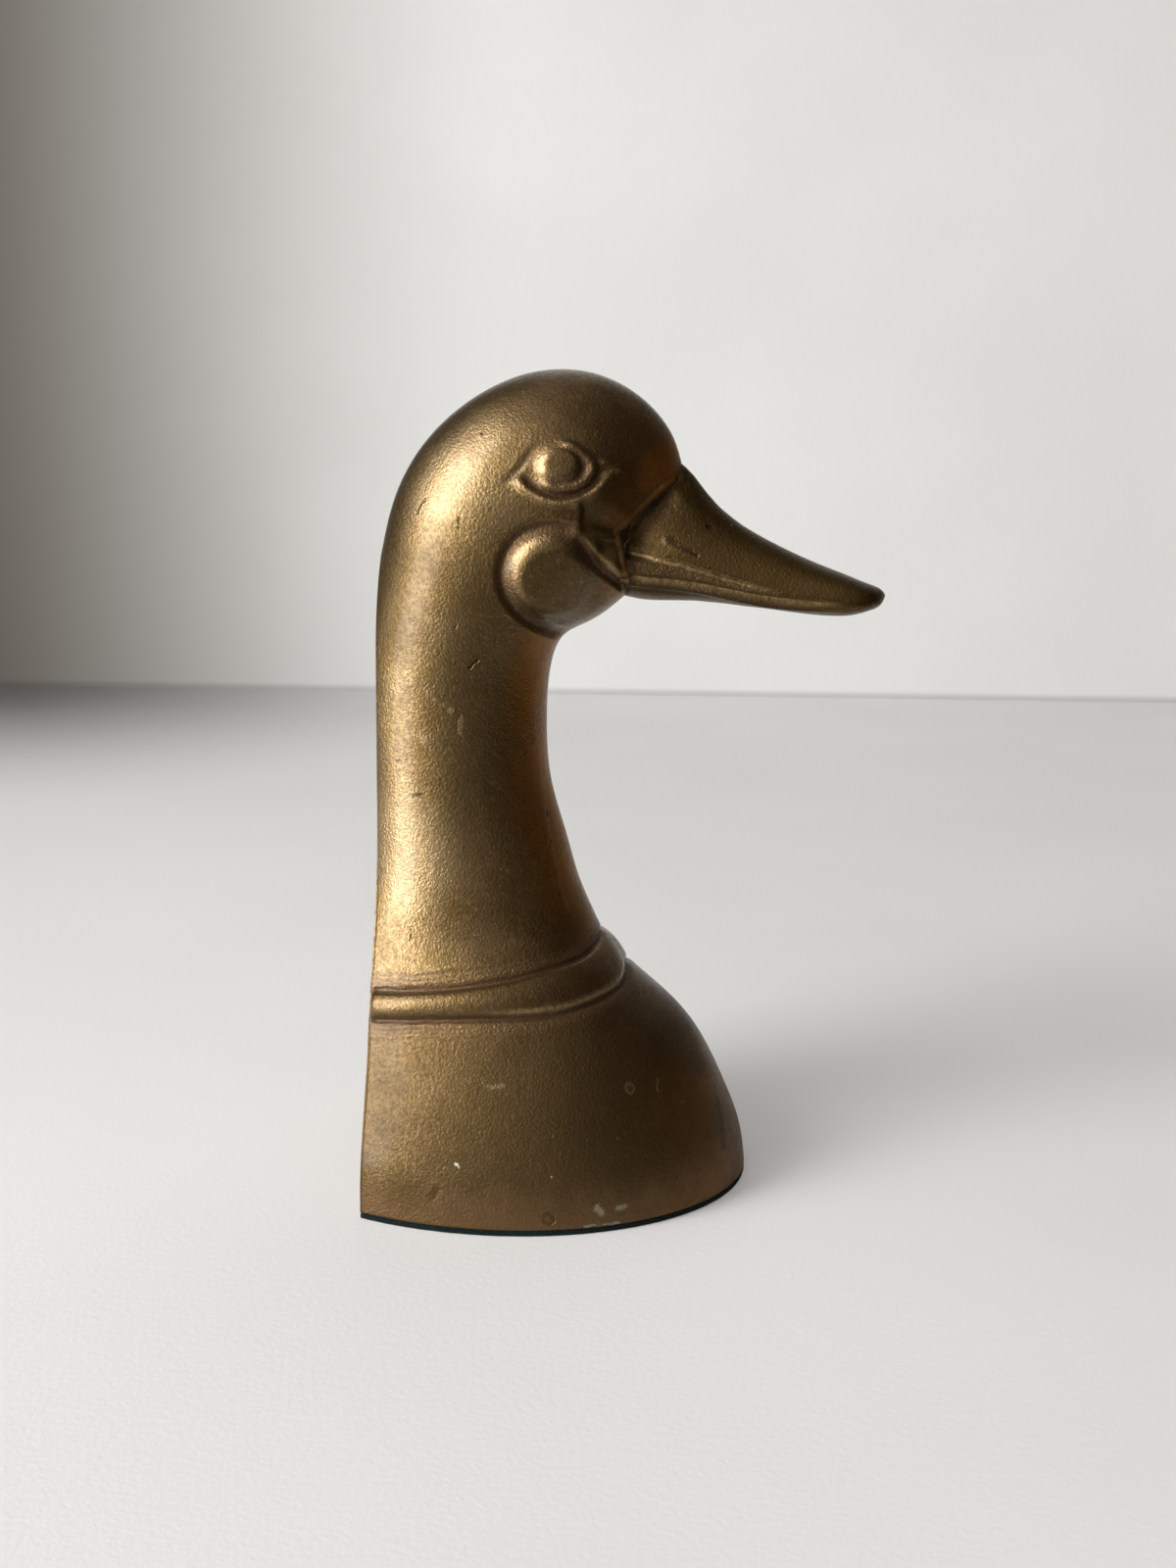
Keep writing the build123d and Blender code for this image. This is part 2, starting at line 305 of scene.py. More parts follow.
MOUTH = smooth_path([
    (49.5, 129.6), (53.2, 129.3), (59.7, 128.8), (65.8, 128.1), (72.0, 126.9), (76.1, 126.1), (80.2, 125.4),
    (84.2, 125.1), (92.3, 124.5), (96.1, 124.5)])
NOSTRIL = smooth_path([(59.2, 138.3), (61.3, 136.9), (63.3, 136.3), (65.6, 135.3)])


def face_relief(q, flank):
    """Height in mm that the face's features add along the normal, how dark they are (grime, and painted shade on
    the right of the eyeball), how rough, and where a highlight is painted on ridges and on slopes that face the
    window.
    """
    height = np.zeros(len(q))
    grime_and_shade = np.zeros(len(q))
    cast = np.zeros(len(q))

    # the eyeball: a flat-topped dome that runs into its raised rim on the left
    e = np.hypot((q[:, 0] - 38.4) / 3.9, (q[:, 1] - 152.5) / 3.3)
    left = 1 - step(q[:, 0] - 0.4 * (q[:, 1] - 152.5), 34.5, 38.5)
    ball = 1.25 * (1 - step(e, 0.72 + 0.04 * left, 1.06 + 0.42 * left)) + 0.2 * (1 - np.clip(e, 0, 1) ** 2)
    right = step(q[:, 0] - 0.7 * (q[:, 1] - 152.5), 37.0, 41.0)
    # painted shade: a dark band round the right of the eyeball, where its slope turns away from the window
    grime_and_shade = np.maximum(grime_and_shade, 0.85 * bump(e - 1.08, 0.22) * right)
    d, place, side = nearest(q, LID)
    height += np.maximum(1.3 * bump(d, 1.55) * (1 - 0.25 * right) * (1 - left), ball)
    # painted highlight: a pale crescent on the left of the eyeball's rim, the side facing the window, and a thin
    # line along the lid's crest
    painted_highlight = np.maximum(0.8 * bump(e - 1.05, 0.35) * left, 0.3 * bump(d, 0.8))
    cast = np.maximum(cast, bump(d, 1.9))
    # the fold below it
    d, place, side = nearest(q, FOLD)
    height += 1.05 * bump(d, 1.35) * step(place, 0.0, 0.10) * step(1 - place, 0.0, 0.25)
    cast = np.maximum(cast, bump(d, 1.8) * step(1 - place, 0.0, 0.2))
    # painted highlight along the fold's crest
    painted_highlight = np.maximum(painted_highlight, 0.5 * bump(d, 0.7) * ends(place, 0.1))
    d, place, side = nearest(q, FOLD_HOOK)
    height += 0.55 * bump(d, 1.1) * ends(place, 0.3)
    d, place, side = nearest(q, FOLD_GROOVE)
    groove = bump(d, 0.95) * ends(place, 0.12)
    height -= 0.6 * groove
    grime_and_shade = np.maximum(grime_and_shade, groove)
    d, place, side = nearest(q, CORNER)
    groove = bump(d, 1.0) * ends(place, 0.35)
    height -= 0.35 * groove
    grime_and_shade = np.maximum(grime_and_shade, 0.7 * groove)

    # the cheek: a dome inside a rough groove
    d, place, side = nearest(q, CHEEK)
    c = np.hypot(q[:, 0] - 36.9, q[:, 1] - 130.2)
    faded = step(1 - place, 0.0, 0.12) * step(place, 0.0, 0.10)
    groove = bump(d, 1.4) * faded
    height -= (0.55 * bump(d, 1.4) + 0.65 * bump(d * np.sign(side) - 0.9, 2.1)) * faded
    grime_and_shade = np.maximum(grime_and_shade, groove)
    grime_and_shade = np.maximum(grime_and_shade, 0.45 * bump(d * np.sign(side) - 1.2, 1.6) * faded)
    cast = np.maximum(cast, bump(d * np.sign(side) - 1.4, 3.0) * faded)
    turn = np.degrees(np.arctan2(q[:, 1] - 130.2, q[:, 0] - 36.9))
    # painted highlight: a pale crescent on the upper left of the cheek's rim, the side facing the window
    painted_highlight = np.maximum(painted_highlight, 0.9 * bump(c - 8.3, 1.3) * bump(turn - 130.0, 42.0))
    dome = 1 - step(c, 5.8, 9.3)
    lower = step(-(q[:, 0] - 36.9) * 0.55 + (q[:, 1] - 130.6) * 0.75, -9.0, 1.0)
    height += 1.5 * dome * (0.35 + 0.65 * lower)
    d, place, side = nearest(q, CHEEK_FRONT)
    groove = bump(d, 1.6) * step(place, 0.0, 0.2)
    height -= 1.0 * groove
    grime_and_shade = np.maximum(grime_and_shade, groove)
    cast = np.maximum(cast, bump(d, 2.2) * step(place, 0.0, 0.2))

    # the hollow under the brow, and the wedge between cheek and bill
    hollow = step(q[:, 0], 41.2, 43.6) * (1 - step(q[:, 0], 50.0, 53.5)) * step(q[:, 1], 138.4, 140.0)
    hollow = hollow * (1 - step(q[:, 1] + 0.55 * (q[:, 0] - 42), 142.8, 149.5))
    height -= 1.2 * hollow
    d, place, side = nearest(q, CREASE)
    height += 0.4 * bump(d, 1.0) * ends(place, 0.3)
    d, place, side = nearest(q, WEDGE_RIDGE)
    height += 0.75 * bump(d, 2.3) * step(place, 0, 0.25)
    d, place, side = nearest(q, WEDGE_TOP)
    height += 0.35 * bump(d, 1.3) * ends(place, 0.2)
    wedge = bump(np.hypot((q[:, 0] - 48.2) / 2.8, (q[:, 1] - 134.4) / 3.8), 1.0)
    height += 0.8 * wedge
    # the wedge faces the window: its grime is thinned and a painted highlight covers it
    grime_and_shade *= 1 - 0.6 * wedge
    painted_highlight = np.maximum(painted_highlight, 0.95 * wedge)
    return height * flank, grime_and_shade * flank, cast * flank, painted_highlight * flank


# How far the head stands proud of the plain bill, by place along the seam.
SEAM_PLACES = (0.0, 0.12, 0.19, 0.27, 0.34, 0.42, 0.51, 0.58, 0.63, 0.67, 0.72, 0.78, 0.85, 1.0)
SEAM_GAPS = (0.0, 1.2, 0.8, 1.4, 1.7, 1.9, 2.4, 3.0, 3.4, 3.1, 2.1, 1.0, 0.0, 0.0)


def seam_gap(place):
    """How much of the step at the seam the head takes up by narrowing, and how much the bill by flaring."""
    gap = np.interp(place, SEAM_PLACES, SEAM_GAPS)
    head = gap * (0.45 - 0.3 * step(place, 0.42, 0.66))
    return head, gap - head


def seam_relief(q, flank):
    """The head narrows toward the seam with a low welt on its edge, and drops away before it."""
    d, place, side = nearest(q, SEAM)
    behind = side <= 0
    head, bill = seam_gap(place)
    drawn_in = head * np.where(behind, 1 - step(d, 0.0, 8.0), 1.0)
    drop = 3.0 * step(place, 0.08, 0.25) * step(head + bill, 0.1, 0.9) * step(d, 0.1, 1.2) * ~behind
    welt = bump(d - 0.5, 0.9) * behind
    rough_part = step(place, 0.52, 0.68)
    return (0.45 * welt - drawn_in - drop) * flank, bump(d, 0.9 + 0.5 * rough_part) * flank


def bill_flare(q):
    """The bill's root spreads to meet the head's edge."""
    d, place, side = nearest(q, SEAM)
    spread = seam_gap(place)[1]
    spread += 0.5 * step(spread, 0.1, 0.9)
    return spread * np.where(side > 0, np.clip(1 - d / 14.0, 0, 1) ** 2, np.clip(1 - d / 2.5, 0, 1))


# Heights of the ring's two grooves on the flank, by reach.
RING_REACH = (0.0, 2.0, 12.0, 23.0, 30.0, 35.0, 39.0, 43.5, 47.5, 52.0, 60.0)
RING_TOP = (44.7, 44.9, 46.1, 47.7, 48.8, 49.8, 50.5, 51.1, 52.0, 53.6, 56.5)
RING_LOW = (39.2, 39.4, 40.8, 41.7, 41.9, 42.0, 42.2, 42.8, 43.6, 44.4, 47.5)


def ring_relief(p, reach):
    """The ring between its two grooves, with fine lines above and below it."""
    middle_share = np.clip(1 - np.abs(p[:, 1]) / 16.0, 0, 1) ** 2 * step(reach, 20, 40)
    top_line = np.interp(reach, RING_REACH, RING_TOP)
    low_line = np.interp(reach, RING_REACH, RING_LOW)
    top_line = top_line + (42.7 + 0.23 * reach - top_line) * middle_share
    low_line = low_line + (36.6 + 0.20 * reach - low_line) * middle_share
    top = p[:, 2] - top_line
    low = p[:, 2] - low_line
    on = step(top, -14, -10) * (1 - step(top, 8, 12))
    span = top - low
    middle = low / np.maximum(-span, 1e-3)
    inside = (low > 0) & (top < 0)
    swell = np.where(inside, np.sin(np.pi * np.clip(middle, 0, 1)) ** 0.8, 0.0)
    height = 1.25 * swell - 0.85 * bump(top - 0.2, 0.9) - 0.95 * bump(low + 0.2, 0.9)
    lines = np.zeros(len(p))
    wander = 0.15 * np.sin(reach * 0.45) + 0.1 * np.sin(reach * 1.1 + 1.0)
    back = 1 - step(reach, 14, 38)
    for offset, depth in ((1.2, 0.22), (2.1, 0.16), (3.1, 0.18)):
        lines += depth * bump(top - offset - wander, 0.42) * (0.35 + 0.65 * back)
    for offset, depth in ((1.1, 0.24), (1.9, 0.22), (2.8, 0.16), (3.9, 0.12)):
        lines += depth * bump(low + offset + wander, 0.42) * (0.1 + 0.9 * back)
    grime_and_shade = np.maximum(bump(top - 0.2, 1.0), bump(low + 0.2, 1.1))
    grime_and_shade = np.maximum(grime_and_shade, np.clip(lines * 2.4, 0, 0.6))
    cast = np.maximum(bump(top - 1.6, 2.6), bump(low + 1.6, 3.0))
    fore = step(reach, 34, 44) * (1 - step(reach, 54, 60))
    grime_and_shade = np.maximum(grime_and_shade, 0.8 * bump(top - 0.9, 2.0) * fore)
    grime_and_shade = np.maximum(grime_and_shade, 0.8 * bump(low + 0.9, 1.7) * step(reach, 28, 40) * (1 - step(reach, 54, 60)))
    calm = (1 - 0.45 * middle_share) * step(reach, 0.0, 1.6)
    lines *= step(reach, 0.0, 1.0)
    # painted highlight along the ring's lower crest on the forward part of the flank
    painted_highlight = 0.7 * bump(low - 1.0, 0.8) * step(reach, 22, 36) * (1 - middle_share)
    return (height * calm - lines) * on, grime_and_shade * on, cast * on, painted_highlight * on


PITS = ((26.0, 148.0), (18.0, 92.0), (24.0, 70.0), (30.0, 96.0), (36.0, 26.0), (52.0, 30.0), (14.0, 18.0),
        (61.0, 22.0), (20.0, 118.0), (44.0, 34.0), (66.0, 12.0), (33.0, 84.0), (12.0, 132.0), (47.0, 12.0))


def build_casting():
    places = np.concatenate((
        [0.0, 0.008, 0.02, 0.04, 0.07],
        np.linspace(0.11, 4.0, 24),
        np.linspace(4.0, 7.2, 66)[1:],
        np.linspace(7.2, 12.0, 42)[1:],
        np.linspace(12.0, 14.0, 18)[1:],
        np.linspace(14.0, 22.0, 138)[1:],
    ))
    count, chord = 236, 16
    arc, chord = form_grid(places, count, chord)
    grid = close_back(arc, chord)
    normal = grid_normals(grid)[:, :count]
    p = arc.reshape(-1, 3)
    n = normal.reshape(-1, 3)
    reach = p[:, 0] - BACK_X
    q = np.column_stack((reach, p[:, 2]))
    flank = step(np.abs(n[:, 1]), 0.12, 0.42)
    # surfaces turned forward, away from the window; the material paints a warm reflection on them
    front = step(n[:, 0], 0.40, 0.85) * (1 - step(n[:, 2], 0.25, 0.65))
    face = (p[:, 2] > 112) & (reach > 22)
    height = np.zeros(len(p))
    grime_and_shade = np.zeros(len(p))
    cast = np.zeros(len(p))
    painted_highlight = np.zeros(len(p))
    h, g, c, s = face_relief(q[face], flank[face])
    height[face] += h
    grime_and_shade[face] = np.maximum(grime_and_shade[face], g)
    cast[face] = c
    painted_highlight[face] = s
    near_seam = (p[:, 2] > 122) & (reach > 44)
    h, g = seam_relief(q[near_seam], flank[near_seam])
    height[near_seam] += h
    grime_and_shade[near_seam] = np.maximum(grime_and_shade[near_seam], g)
    h, g, c, s = ring_relief(p, reach)
    height += h
    grime_and_shade = np.maximum(grime_and_shade, g)
    cast = np.maximum(cast, 0.8 * c)
    painted_highlight = np.maximum(painted_highlight, s)
    ahead = nearest(q[near_seam], SEAM)[2] > 0
    front[near_seam] *= 1 - ahead
    front *= 1 - 0.8 * bump(np.hypot(reach - 46.0, p[:, 2] - 136.0), 9.0)
    front = np.maximum(front, 0.9 * bump(np.hypot(reach - 58.0, p[:, 2] - 150.5), 6.5) * (n[:, 0] > 0.2))

    # worn arris along the back edge and round the foot
    radius = 0.8
    facing = np.clip(1.0 - 1.15 * np.abs(n[:, 0]), 0, 1)
    inset = radius - np.sqrt(np.maximum(radius ** 2 - np.clip(radius - reach, 0, radius) ** 2, 0))
    foot = 0.5
    rise = foot - np.sqrt(np.maximum(foot ** 2 - np.clip(foot - (p[:, 2] - FELT), 0, foot) ** 2, 0))
    height -= inset * facing + rise
    on_back = reach < 1e-4
    on_foot = p[:, 2] < FELT + 1e-4
    n = np.where(on_back[:, None], n * (0, 1, 1), n)
    n = np.where(on_foot[:, None], n * (1, 1, 0), n)
    n /= np.maximum(np.linalg.norm(n, axis=1, keepdims=True), 1e-9)
    p = p + n * height[:, None]
    p[:, 0] = np.maximum(p[:, 0], BACK_X)
    arc = p.reshape(arc.shape)
    outer = close_back(arc, chord)
    grime_and_shade, front, cast, painted_highlight = (
        np.concatenate((layer.reshape(arc.shape[:2]), np.zeros((len(places), chord))), axis=1)
        for layer in (grime_and_shade, front, cast, painted_highlight))
    tip = outer[-1].mean(axis=0)
    outer = np.concatenate((outer, np.broadcast_to(tip, (1,) + outer.shape[1:])))
    grime_and_shade, front, cast, painted_highlight = (np.concatenate((layer, layer[-1:])) for layer in (grime_and_shade, front, cast, painted_highlight))

    core_places = np.concatenate((np.linspace(0.0, 4.0, 7), np.linspace(4.8, 17.0, 17)))
    arc, chord = form_grid(core_places, count, chord, grow=-WALL, back_x=BACK_X + WALL, spread=0.0,
                           cluster=())
    arc[0, :, 2] = FELT
    core = close_back(arc, chord)
    core = np.concatenate((core, np.broadcast_to(core[-1].mean(axis=0), (1,) + core.shape[1:])))

    width = outer.shape[1]
    vertices = np.concatenate((outer.reshape(-1, 3), core.reshape(-1, 3)))
    outer_faces = grid_faces(len(outer), width)[:, ::-1]
    core_start = len(outer) * width
    core_faces = grid_faces(len(core), width, core_start)
    j = np.arange(width)
    k = (j + 1) % width
    rim = np.stack((j, k, core_start + k, core_start + j), axis=-1)
    faces = np.concatenate((outer_faces, core_faces, rim))
    core_size = core.shape[0] * width
    grime_and_shade = np.concatenate((grime_and_shade.ravel(), np.full(core_size, 0.6)))
    front, cast, painted_highlight = (
        np.concatenate((layer.ravel(), np.zeros(core_size))) for layer in (front, cast, painted_highlight))
    layers = {"grime_and_shade": grime_and_shade, "front": front, "cast": cast, "painted_highlight": painted_highlight, "bill": np.zeros(len(vertices))}
    return vertices, faces, layers


# How far the bill's underside hangs below the plain form, by reach.
BILL_SAG_REACH = (50.0, 54.0, 60.0, 66.0, 72.0, 76.0, 84.0, 92.0, 97.0, 101.0)
BILL_SAG = (1.1, 1.1, 0.7, 0.5, 0.7, 0.9, 0.9, 0.7, 0.5, 0.0)
# How far its top rises into the forehead.
BILL_SADDLE_REACH = (56.0, 60.0, 62.0, 64.5, 67.0, 70.0, 75.0)
BILL_SADDLE = (0.0, 1.6, 2.2, 1.8, 1.0, 0.35, 0.0)


def build_bill():
    places = np.concatenate((np.linspace(0.0, 8.0, 84), np.linspace(8.0, 10.0, 22)[1:]))
    rows = bill_spline(places)
    count = 132
    power = 2 / BILL_SQUARENESS
    grid = []
    for x, top, low, half, narrowing in rows:
        low -= np.interp(x - BACK_X, BILL_SAG_REACH, BILL_SAG)
        top += np.interp(x - BACK_X, BILL_SADDLE_REACH, BILL_SADDLE)
        a = np.linspace(0, 2 * math.pi, 721)
        side = np.sign(np.cos(a)) * np.abs(np.cos(a)) ** power
        rise = np.sign(np.sin(a)) * np.abs(np.sin(a)) ** power
        p = np.column_stack((np.full(len(a), x), side * half * (1 - narrowing * rise),
                             (top + low) / 2 + rise * (top - low) / 2))
        d = np.linalg.norm(np.diff(p, axis=0), axis=1)
        whole = np.concatenate(([0.0], np.cumsum(d)))
        at = np.linspace(0, whole[-1], count, endpoint=False)
        grid.append(np.column_stack([np.interp(at, whole, p[:, i]) for i in range(3)]))
    grid = np.array(grid)
    normal = -grid_normals(grid)
    p = grid.reshape(-1, 3)
    n = normal.reshape(-1, 3)
    q = np.column_stack((p[:, 0] - BACK_X, p[:, 2]))
    flank = step(np.abs(n[:, 1]), 0.1, 0.4)
    height = np.zeros(len(p))
    grime_and_shade = np.zeros(len(p))
    height += bill_flare(q)
    above, place, top_side = nearest(q, LIP_TOP)
    height += 0.95 * bump(above, 0.95) * (1 - step(place, 0.6, 1.0))
    # painted highlight along the ridges of both lips
    painted_highlight = 0.8 * bump(above, 0.95) * (1 - step(place, 0.6, 1.0)) * step(place, 0.0, 0.1)
    below, place, low_side = nearest(q, LIP_LOW)
    height += 0.9 * bump(below, 0.85) * (1 - step(place, 0.85, 1.0))
    painted_highlight = np.maximum(painted_highlight, 0.8 * bump(below, 0.85) * (1 - step(place, 0.85, 1.0)))
    between = (top_side < 0) & (low_side > 0) & (q[:, 0] < 92)
    band = between * step(np.minimum(above, below), 0.2, 0.9) * (1 - step(q[:, 0], 72, 92))
    height -= 0.25 * band
    grime_and_shade = np.maximum(grime_and_shade, 0.5 * band)
    cast = 0.25 + 0.75 * band
    d, place, side = nearest(q, MOUTH)
    slit = bump(d, 0.75) * (1 - step(place, 0.75, 1.0))
    height -= 0.6 * slit
    grime_and_shade = np.maximum(grime_and_shade, slit)
    d, place, side = nearest(q, NOSTRIL)
    slit = bump(d, 0.7) * step(1 - place, 0.0, 0.5)
    pit = bump(np.hypot(q[:, 0] - 59.3, q[:, 1] - 138.1), 1.1)
    height -= 0.3 * slit + 0.4 * pit
    grime_and_shade = np.maximum(grime_and_shade, np.maximum(0.8 * slit, pit))
    d, place, side = nearest(q, SEAM)
    gap = bump(d - 0.3, 0.9 + 0.8 * step(place, 0.52, 0.68)) * (side > 0)
    height -= 0.3 * gap
    grime_and_shade = np.maximum(grime_and_shade, gap)
    p = p + n * (height * flank)[:, None]
    grid = p.reshape(grid.shape)
    first = np.broadcast_to(grid[0].mean(axis=0), (1, count, 3))
    last = np.broadcast_to(grid[-1].mean(axis=0) + (0.25, 0, 0), (1, count, 3))
    grid = np.concatenate((first, grid, last))
    grime_and_shade = (grime_and_shade * flank).reshape(-1, count)
    grime_and_shade = np.concatenate((grime_and_shade[:1], grime_and_shade, grime_and_shade[-1:]))
    none = np.zeros(grime_and_shade.size)
    cast, painted_highlight = (layer.reshape(-1, count) for layer in (cast, painted_highlight * flank))
    cast, painted_highlight = (np.concatenate((layer[:1], layer, layer[-1:])) for layer in (cast, painted_highlight))
    layers = {"grime_and_shade": grime_and_shade.ravel(), "front": none, "cast": cast.ravel(), "painted_highlight": painted_highlight.ravel(),
              "bill": 1.0 + none}
    return grid.reshape(-1, 3), grid_faces(len(grid), count), layers


def make_mesh(name, vertices, faces, layers=None):
    mesh = bpy.data.meshes.new(name)
    mesh.from_pydata((vertices * MM).tolist(), [], faces.tolist())
    for title, values in (layers or {}).items():
        layer = mesh.attributes.new(title, "FLOAT", "POINT")
        layer.data.foreach_set("value", values.astype(np.float32))
    obj = bpy.data.objects.new(name, mesh)
    bpy.context.scene.collection.objects.link(obj)
    return obj


def tidy_mesh(obj, distance=2e-6):
    import bmesh
    bm = bmesh.new()
    bm.from_mesh(obj.data)
    bmesh.ops.remove_doubles(bm, verts=bm.verts, dist=distance)
    bmesh.ops.dissolve_degenerate(bm, dist=distance / 2, edges=bm.edges)
    bmesh.ops.recalc_face_normals(bm, faces=bm.faces)
    open_edges = sum(1 for e in bm.edges if not e.is_manifold)
    print(obj.name, "faces", len(bm.faces), "open or odd edges", open_edges, file=sys.stderr)
    bm.to_mesh(obj.data)
    bm.free()


def apply_modifiers(obj):
    dg = bpy.context.evaluated_depsgraph_get()
    mesh = bpy.data.meshes.new_from_object(obj.evaluated_get(dg))
    obj.modifiers.clear()
    obj.data = mesh


casting = make_mesh("brass_casting", *build_casting())
bill = make_mesh("bill_tool", *build_bill())
tidy_mesh(casting)
tidy_mesh(bill)
joint = casting.modifiers.new("union", "BOOLEAN")
joint.operation = "UNION"
joint.solver = "MANIFOLD"
joint.object = bill
bpy.context.view_layer.update()
apply_modifiers(casting)
bpy.data.objects.remove(bill)
print("casting faces", len(casting.data.polygons), file=sys.stderr)
casting.data.polygons.foreach_set("use_smooth", np.ones(len(casting.data.polygons), bool))
casting.data.polygons.foreach_set("material_index", np.zeros(len(casting.data.polygons), np.int32))
casting.data.materials.clear()


# ---------------------------------------------------------------- the felt

def build_felt():
    count = 300
    arc = section(form_spline([0.0])[0], -0.05, BACK_X, count, 0.0, ())
    t = (np.arange(60) + 1) / 61
    across = arc[-1] + (arc[0] - arc[-1]) * t[:, None]
    edge = np.concatenate((arc, across))[:, :2]
    rng = np.random.default_rng(7)
    layers = ((0.0, 0.35), (0.12, 0.08), (0.5, 0.0), (0.9, 0.05), (FELT, 0.12))
    middle = edge.mean(axis=0)
    out = (edge - middle) / np.linalg.norm(edge - middle, axis=1, keepdims=True)
    vertices = []
    for z, inset in layers:
        fuzz = rng.normal(0, 0.03, len(edge))
        inner = edge - out * (inset + np.abs(fuzz))[:, None]
        inner[:, 0] = np.maximum(inner[:, 0], BACK_X + 0.01)
        vertices.append(np.column_stack((inner, np.full(len(edge), z))))
    rings = []
    for share in (0.9, 0.7, 0.45, 0.2):
        rings.append(share)
    bottom = [np.column_stack((middle + (vertices[0][:, :2] - middle) * s,
                               np.full(len(edge), 0.0))) for s in rings[::-1]]
    top = [np.column_stack((middle + (vertices[-1][:, :2] - middle) * s,
                            np.full(len(edge), FELT))) for s in rings]
    centre_low = np.tile((middle[0], middle[1], 0.0), (len(edge), 1))
    centre_top = np.tile((middle[0], middle[1], FELT), (len(edge), 1))
    grid = np.array([centre_low] + bottom + vertices + top + [centre_top])
    return grid.reshape(-1, 3), grid_faces(len(grid), len(edge))


felt = make_mesh("felt_pad", *build_felt())
tidy_mesh(felt)
felt.data.polygons.foreach_set("use_smooth", np.ones(len(felt.data.polygons), bool))


# ---------------------------------------------------------------- materials

class Nodes:
    """A short way to write a node tree."""

    def __init__(self, name):
        self.material = bpy.data.materials.new(name)
        self.material.use_nodes = True
        self.tree = self.material.node_tree
        self.shader = self.tree.nodes["Principled BSDF"]
        self.place = self.add("ShaderNodeTexCoord").outputs["Object"]
        ragged = self.add("ShaderNodeTexNoise", {"Vector": self.place, "Scale": 1100.0, "Detail": 2.0})
        shift = self.add("ShaderNodeVectorMath", {0: ragged.outputs["Color"], 1: (-0.5, -0.5, -0.5)},
                         operation="ADD").outputs[0]
        shift = self.add("ShaderNodeVectorMath", {0: shift, "Scale": 0.0012}, operation="SCALE").outputs[0]
        self.frayed = self.add("ShaderNodeVectorMath", {0: self.place, 1: shift}, operation="ADD").outputs[0]

    def add(self, kind, inputs=None, **settings):
        node = self.tree.nodes.new(kind)
        for key, value in settings.items():
            setattr(node, key, value)
        for key, value in (inputs or {}).items():
            if isinstance(value, bpy.types.NodeSocket):
                self.tree.links.new(value, node.inputs[key])
            else:
                node.inputs[key].default_value = value
        return node

    def noise(self, scale, detail=4.0, rough=0.5, distortion=0.0, vector=None):
        return self.add("ShaderNodeTexNoise", {
            "Vector": vector or self.place, "Scale": scale, "Detail": detail,
            "Roughness": rough, "Distortion": distortion}).outputs["Fac"]

    def cells(self, scale, feature="F1", vector=None, output="Distance"):
        return self.add("ShaderNodeTexVoronoi", {"Vector": vector or self.place, "Scale": scale},
                        feature=feature).outputs[output]

    def flecks(self, scale, radius, share, vector=None):
        """Dots of a radius in mm, in a share of the cells of a scale."""
        cells = self.add("ShaderNodeTexVoronoi", {"Vector": vector or self.place, "Scale": scale}).outputs
        edge = radius * MM * scale
        dots = self.span(cells["Distance"], 0.5 * edge, edge, 1.0, 0.0)
        chance = self.add("ShaderNodeSeparateColor", {"Color": cells["Color"]}).outputs[0]
        return self.math("MULTIPLY", dots, self.math("GREATER_THAN", chance, 1.0 - share))

    def away(self, start, end):
        """Distance from the straight line between two places in mm."""
        start, end = Vector(start) * MM, Vector(end) * MM
        line = end - start
        offset = self.add("ShaderNodeVectorMath", {0: self.frayed, 1: start}, operation="SUBTRACT").outputs[0]
        if line.length == 0.0:
            return self.add("ShaderNodeVectorMath", {0: offset}, operation="LENGTH").outputs["Value"]
        run = self.add("ShaderNodeVectorMath", {0: offset, 1: line / line.length_squared},
                       operation="DOT_PRODUCT").outputs["Value"]
        run = self.math("MAXIMUM", self.math("MINIMUM", run, 1.0), 0.0)
        foot = self.add("ShaderNodeVectorMath", {0: line, "Scale": run}, operation="SCALE").outputs[0]
        return self.add("ShaderNodeVectorMath", {0: offset, 1: foot}, operation="DISTANCE").outputs["Value"]

    def patches(self, table):
        """Broad soft patches at the places of a table, from 0 to 1."""
        total = 0.0
        for centre, radius, strength in table:
            far = self.math("DIVIDE", self.away(centre, centre), radius * MM)
            total = self.math("MAXIMUM", total, self.span(far, 0.35, 1.0, strength, 0.0))
        return total

    def marks(self, table):
        """The strongest of a table of marks: start, end, radius, width of the outline or 0, strength."""
        total = 0.0
        for start, end, radius, outline, strength in table:
            away = self.away(start, end)
            if outline:
                away = self.math("ABSOLUTE", self.math("SUBTRACT", away, radius * MM))
                radius = outline
            mark = self.span(away, 0.35 * radius * MM, radius * MM, strength, 0.0)
            total = mark if total == 0.0 else self.math("MAXIMUM", total, mark)
        return total

    def stretch(self, scale, turn=(0.0, 0.0, 0.0)):
        return self.add("ShaderNodeMapping", {
            "Vector": self.place, "Scale": scale, "Rotation": turn}).outputs["Vector"]

    def span(self, value, low, high, to_low=0.0, to_high=1.0):
        return self.add("ShaderNodeMapRange", {
            "Value": value, "From Min": low, "From Max": high, "To Min": to_low, "To Max": to_high},
            interpolation_type="SMOOTHSTEP").outputs["Result"]

    def math(self, operation, a, b=0.0, clamp=False):
        return self.add("ShaderNodeMath", {0: a, 1: b}, operation=operation, use_clamp=clamp).outputs[0]

    def mix(self, share, a, b, blend="MIX"):
        node = self.tree.nodes.new("ShaderNodeMix")
        node.data_type = "RGBA"
        node.blend_type = blend
        for index, value in ((0, share), (6, a), (7, b)):
            if isinstance(value, bpy.types.NodeSocket):
                self.tree.links.new(value, node.inputs[index])
            else:
                node.inputs[index].default_value = value
        return node.outputs[2]

    def bump(self, height, strength, distance, normal=None):
        inputs = {"Height": height, "Strength": strength, "Distance": distance}
        if normal is not None:
            inputs["Normal"] = normal
        return self.add("ShaderNodeBump", inputs).outputs["Normal"]

